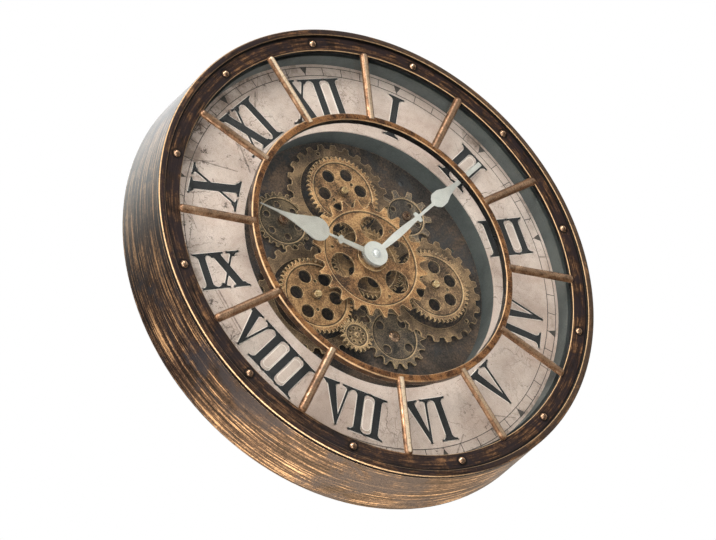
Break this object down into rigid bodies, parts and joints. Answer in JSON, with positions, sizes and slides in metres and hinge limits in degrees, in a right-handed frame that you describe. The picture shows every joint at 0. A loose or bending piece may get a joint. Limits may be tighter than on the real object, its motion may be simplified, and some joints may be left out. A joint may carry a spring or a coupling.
{
  "type": "gear wall clock",
  "caption": "Round wall clock with a bronze drum case, raised dial grille, Roman numerals, two hands and an open gear train in a well behind the glass.",
  "frame": {"origin": "on the dial's axis, in the wall plane that the four rear bumpers touch", "axes": "-Y out of the wall, along the way the dial faces; +Z towards 12 o'clock; +X towards 3 o'clock"},
  "size_m": [0.53, 0.0831, 0.53],
  "materials": {
    "case_drum": "brushed antique bronze paint",
    "front_bezel": "brushed antique bronze paint",
    "bezel_rivets": "aged bronze, satin",
    "grille_ring": "brushed antique bronze paint",
    "grille_bars": "brushed antique bronze paint",
    "glass_gasket": "matt",
    "glass_pane": "clear, polished",
    "front_spacer": "dark slate paint, matt",
    "rear_spacer": "dark slate paint, matt",
    "dial_ring": "printed, aged cream, matt",
    "dial_numerals": "matt",
    "gear_well": "dark slate paint, matt",
    "movement_plate": "mottled bronze-brown paint, satin",
    "chassis_screws": "satin",
    "toothed_ring_top": "aged bronze, satin",
    "toothed_ring_right": "aged bronze, satin",
    "toothed_ring_left": "aged bronze, satin",
    "ring_standoffs": "aged bronze, satin",
    "fixed_gear_bottom": "aged bronze, satin",
    "fixed_gear_left": "aged bronze, satin",
    "fixed_gear_upper": "aged bronze, satin",
    "gear_rivets": "aged bronze, satin",
    "satellite_posts": "aged bronze, satin",
    "axle_washers": "aged bronze, satin",
    "axle_screws": "aged bronze, satin",
    "hub_bearing": "satin",
    "centre_wheel": "aged bronze, satin",
    "centre_fine_gear": "aged bronze, satin",
    "centre_tube": "aged bronze, satin",
    "satellite_gear_top": "aged bronze, satin",
    "satellite_gear_right": "aged bronze, satin",
    "satellite_gear_left": "aged bronze, satin",
    "drive_gear": "aged bronze, satin",
    "drive_shaft": "satin",
    "reduction_gear": "matt",
    "motor_pinion": "matt",
    "drive_motor": "satin",
    "drive_case": "matt",
    "drive_cells": "satin",
    "battery_door": "matt",
    "power_switch": "matt",
    "movement_case": "matt",
    "movement_cover": "matt",
    "movement_bush": "aged bronze, satin",
    "movement_nut": "satin",
    "movement_washer": "matt",
    "movement_cell": "satin",
    "minute_hand": "ivory paint, satin",
    "minute_shaft": "satin",
    "minute_nut": "satin",
    "setting_knob": "matt",
    "hour_hand": "ivory paint, satin",
    "hour_wheel": "matt",
    "minute_wheel": "matt",
    "back_board": "painted fibreboard, dark brown, matt",
    "board_screws": "satin",
    "hanger_plate": "satin",
    "wall_bumpers": "matt"
  },
  "bodies": {
    "clock_case": {"case_drum": "case_drum", "front_bezel": "front_bezel", "bezel_rivets": "bezel_rivets", "grille_ring": "grille_ring", "grille_bars": "grille_bars", "glass_gasket": "glass_gasket", "glass_pane": "glass_pane", "front_spacer": "front_spacer", "rear_spacer": "rear_spacer", "dial_ring": "dial_ring", "dial_numerals": "dial_numerals", "gear_well": "gear_well", "movement_plate": "movement_plate", "chassis_screws": "chassis_screws", "toothed_ring_top": "toothed_ring_top", "toothed_ring_right": "toothed_ring_right", "toothed_ring_left": "toothed_ring_left", "ring_standoffs": "ring_standoffs", "fixed_gear_bottom": "fixed_gear_bottom", "fixed_gear_left": "fixed_gear_left", "fixed_gear_upper": "fixed_gear_upper", "gear_rivets": "gear_rivets", "satellite_posts": "satellite_posts", "axle_washers": "axle_washers", "axle_screws": "axle_screws", "hub_bearing": "hub_bearing", "drive_motor": "drive_motor", "drive_case": "drive_case", "drive_cells": "drive_cells", "movement_case": "movement_case", "movement_cover": "movement_cover", "movement_bush": "movement_bush", "movement_nut": "movement_nut", "movement_washer": "movement_washer", "movement_cell": "movement_cell", "back_board": "back_board", "board_screws": "board_screws", "hanger_plate": "hanger_plate", "wall_bumpers": "wall_bumpers"},
    "minute": {"minute_hand": "minute_hand", "minute_shaft": "minute_shaft", "minute_nut": "minute_nut", "setting_knob": "setting_knob"},
    "hour": {"hour_hand": "hour_hand", "hour_wheel": "hour_wheel"},
    "minute_wheel": {"minute_wheel": "minute_wheel"},
    "centre": {"centre_wheel": "centre_wheel", "centre_fine_gear": "centre_fine_gear", "centre_tube": "centre_tube"},
    "satellite_top": {"satellite_gear_top": "satellite_gear_top"},
    "satellite_right": {"satellite_gear_right": "satellite_gear_right"},
    "satellite_left": {"satellite_gear_left": "satellite_gear_left"},
    "drive": {"drive_gear": "drive_gear", "drive_shaft": "drive_shaft", "reduction_gear": "reduction_gear"},
    "motor": {"motor_pinion": "motor_pinion"},
    "battery_door": {"battery_door": "battery_door"},
    "power_switch": {"power_switch": "power_switch"}
  },
  "joints": [
    {"name": "minute_turn", "type": "hinge", "parent": "clock_case", "child": "minute", "pos_m": [0, 0, 0], "axis": [0, 1, 0], "continuous": true},
    {"name": "hour_turn", "type": "hinge", "parent": "clock_case", "child": "hour", "pos_m": [0, 0, 0], "axis": [0, 1, 0], "continuous": true},
    {"name": "minute_wheel_turn", "type": "hinge", "parent": "clock_case", "child": "minute_wheel", "pos_m": [0.012, 0, 0], "axis": [0, 1, 0], "continuous": true},
    {"name": "centre_turn", "type": "hinge", "parent": "clock_case", "child": "centre", "pos_m": [0, 0, 0], "axis": [0, 1, 0], "continuous": true},
    {"name": "satellite_top_turn", "type": "hinge", "parent": "clock_case", "child": "satellite_top", "pos_m": [0.00087, 0, 0.08303], "axis": [0, 1, 0], "continuous": true},
    {"name": "satellite_right_turn", "type": "hinge", "parent": "clock_case", "child": "satellite_right", "pos_m": [0.07501, 0, -0.03562], "axis": [0, 1, 0], "continuous": true},
    {"name": "satellite_left_turn", "type": "hinge", "parent": "clock_case", "child": "satellite_left", "pos_m": [-0.07666, 0, -0.03191], "axis": [0, 1, 0], "continuous": true},
    {"name": "drive_turn", "type": "hinge", "parent": "clock_case", "child": "drive", "pos_m": [-0.04454, 0, -0.08119], "axis": [0, 1, 0], "continuous": true},
    {"name": "motor_turn", "type": "hinge", "parent": "clock_case", "child": "motor", "pos_m": [-0.02954, 0, -0.08119], "axis": [0, 1, 0], "continuous": true},
    {"name": "battery_door_slide", "type": "slide", "parent": "clock_case", "child": "battery_door", "axis": [0, 0, -1], "range_m": [0, 0.02]},
    {"name": "power_switch_slide", "type": "slide", "parent": "clock_case", "child": "power_switch", "axis": [1, 0, 0], "range_m": [0, 0.005]}
  ],
  "couplings": [
    {"joint": "hour_turn", "follows": "minute_turn", "ratio": 0.083333},
    {"joint": "minute_wheel_turn", "follows": "minute_turn", "ratio": -0.33333},
    {"joint": "satellite_top_turn", "follows": "centre_turn", "ratio": -1},
    {"joint": "satellite_right_turn", "follows": "centre_turn", "ratio": -1},
    {"joint": "satellite_left_turn", "follows": "centre_turn", "ratio": -1},
    {"joint": "drive_turn", "follows": "centre_turn", "ratio": 2.4},
    {"joint": "motor_turn", "follows": "centre_turn", "ratio": -12}
  ]
}
